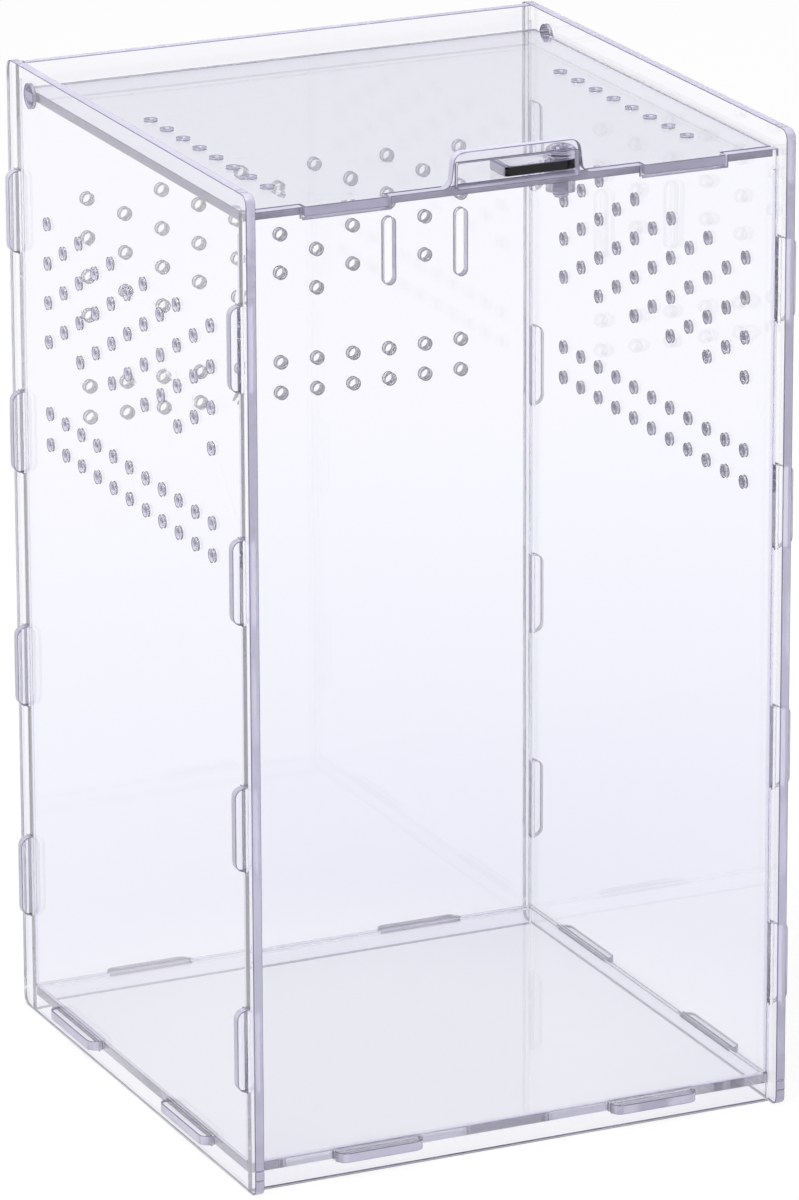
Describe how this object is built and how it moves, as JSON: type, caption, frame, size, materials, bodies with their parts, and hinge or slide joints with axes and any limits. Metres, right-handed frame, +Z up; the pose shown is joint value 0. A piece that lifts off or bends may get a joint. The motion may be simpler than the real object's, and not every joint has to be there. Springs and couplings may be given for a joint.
{
  "type": "reptile breeding box",
  "caption": "Tall clear acrylic breeding box of tab-and-slot sheets with vent holes, a hinged top lid and a turning latch bar on a clear screw.",
  "frame": {"origin": "middle of the footprint, on the surface that the box stands on", "axes": "+X to the box's right, +Y to the hinge side at the back, +Z up"},
  "size_m": [0.1476, 0.1464, 0.2512],
  "materials": {
    "clear_acrylic": "polished clear sheet with laser-cut edges",
    "clear_fastener": "moulded clear plastic"
  },
  "bodies": {
    "box": {"left_panel": "clear_acrylic", "right_panel": "clear_acrylic", "front_panel": "clear_acrylic", "back_panel": "clear_acrylic", "base_panel": "clear_acrylic"},
    "lid": {"lid": "clear_acrylic", "latch_screw": "clear_fastener", "latch_nut": "clear_fastener"},
    "latch": {"latch_bar": "clear_acrylic"}
  },
  "joints": [
    {"name": "lid_hinge", "type": "hinge", "parent": "box", "child": "lid", "pos_m": [0, 0.0588, 0.24155], "axis": [-1, 0, 0], "range_deg": [0, 130]},
    {"name": "latch_turn", "type": "hinge", "parent": "lid", "child": "latch", "pos_m": [0.0146, -0.0613, 0.2428], "axis": [0, 0, 1], "range_deg": [-90, 42]}
  ]
}
